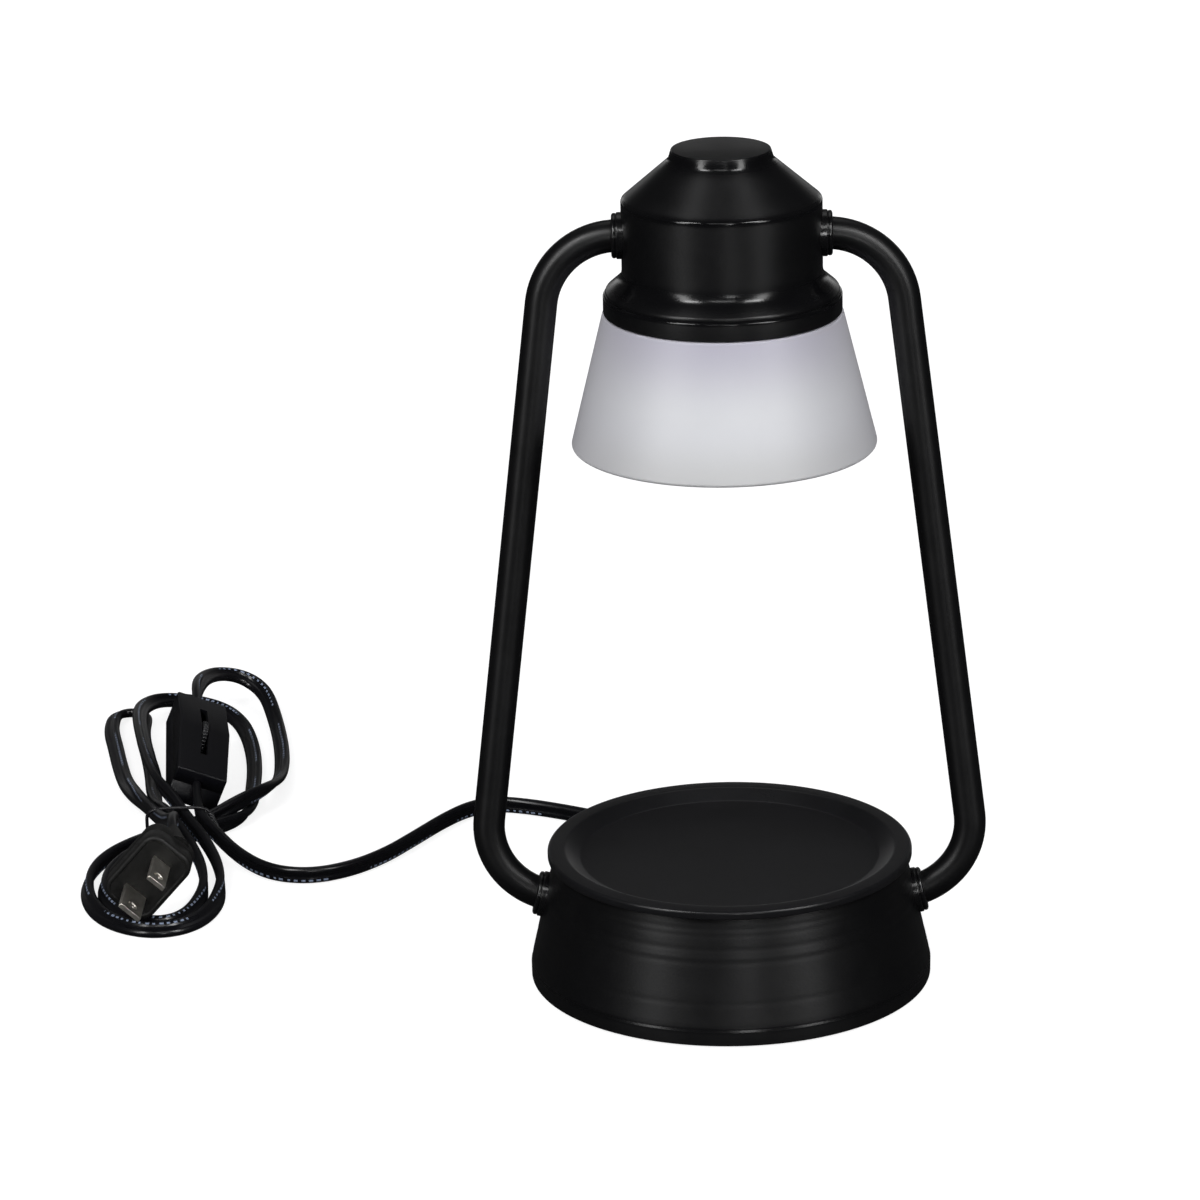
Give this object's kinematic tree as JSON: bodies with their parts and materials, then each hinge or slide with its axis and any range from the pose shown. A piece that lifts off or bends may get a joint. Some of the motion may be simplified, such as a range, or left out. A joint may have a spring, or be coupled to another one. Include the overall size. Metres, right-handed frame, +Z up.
{
  "type": "candle warmer lamp",
  "caption": "Candle warmer lamp: round weighted base with a dished plate, bent tubes carrying a black hood with a frosted glass shade, and a bundled cord with a thumbwheel switch and a plug.",
  "frame": {"origin": "under the middle of the round base, on the surface that the feet stand on", "axes": "+Z up through the hood, +Y towards the back where the cord leaves the base, +X towards the right-hand tube"},
  "size_m": [0.2886, 0.3057, 0.2543],
  "materials": {
    "black_powder_coat": "satin, fine orange peel",
    "plate_coat": "satin",
    "frosted_glass": "frosted, translucent",
    "cast_weight": "as cast",
    "zinc_steel": "zinc plated",
    "cover_plastic": "matte",
    "foot_rubber": "matte",
    "holder_ceramic": "unglazed",
    "contact_brass": "plain",
    "bulb_ceramic": "unglazed",
    "bulb_mirror": "vapour coated",
    "bulb_glass": "clear",
    "pin_nickel": "nickel plated",
    "cord_vinyl": "semi-gloss vinyl",
    "gland_plastic": "matte",
    "switch_plastic": "satin moulding",
    "plug_vinyl": "matte vinyl moulding",
    "blade_nickel": "nickel plated",
    "tie_coat": "coated wire",
    "lead_sleeve": "woven sleeve",
    "connector_plastic": "matte"
  },
  "bodies": {
    "lamp": {"base_shell": "black_powder_coat", "bottom_cover": "cover_plastic", "rubber_feet": "foot_rubber", "base_weight": "cast_weight", "cover_screws": "zinc_steel", "warming_plate": "plate_coat", "plate_stud": "zinc_steel", "clamp_washer": "zinc_steel", "clamp_nut": "zinc_steel", "frame_tube_right": "black_powder_coat", "frame_tube_left": "black_powder_coat", "head_escutcheons": "black_powder_coat", "base_escutcheons": "black_powder_coat", "head_saddle_washers": "zinc_steel", "head_lock_nuts": "zinc_steel", "base_saddle_washers": "zinc_steel", "base_lock_nuts": "zinc_steel", "head_shell": "black_powder_coat", "glass_shade": "frosted_glass", "shade_clamp_ring": "zinc_steel", "shade_screws": "zinc_steel", "lamp_carrier": "zinc_steel", "lamp_holder": "holder_ceramic", "holder_contacts": "contact_brass", "holder_screws": "zinc_steel", "cord_gland": "gland_plastic", "wire_connectors": "connector_plastic", "supply_leads": "lead_sleeve", "riser_leads": "lead_sleeve", "switch_lower_housing": "switch_plastic", "switch_upper_housing": "switch_plastic", "switch_axle": "zinc_steel", "switch_contacts": "contact_brass", "switch_screws": "zinc_steel", "plug_body": "plug_vinyl", "plug_blade_narrow": "blade_nickel", "plug_blade_wide": "blade_nickel", "cord_lamp_side": "cord_vinyl", "cord_plug_side": "cord_vinyl", "cord_tie": "tie_coat"},
    "bulb": {"bulb_base": "bulb_ceramic", "bulb_reflector": "bulb_mirror", "bulb_lens": "bulb_glass", "bulb_pins": "pin_nickel"},
    "thumbwheel": {"switch_thumbwheel": "switch_plastic"}
  },
  "joints": [
    {"name": "bulb_twist_lock", "type": "hinge", "parent": "lamp", "child": "bulb", "pos_m": [0, 0, 0.2162], "axis": [0, 0, 1], "range_deg": [-30, 0]},
    {"name": "thumbwheel_turn", "type": "hinge", "parent": "lamp", "child": "thumbwheel", "pos_m": [-0.17456, 0.1625, 0.01559], "axis": [-0.92, -0.1231, 0.3722], "continuous": true}
  ]
}
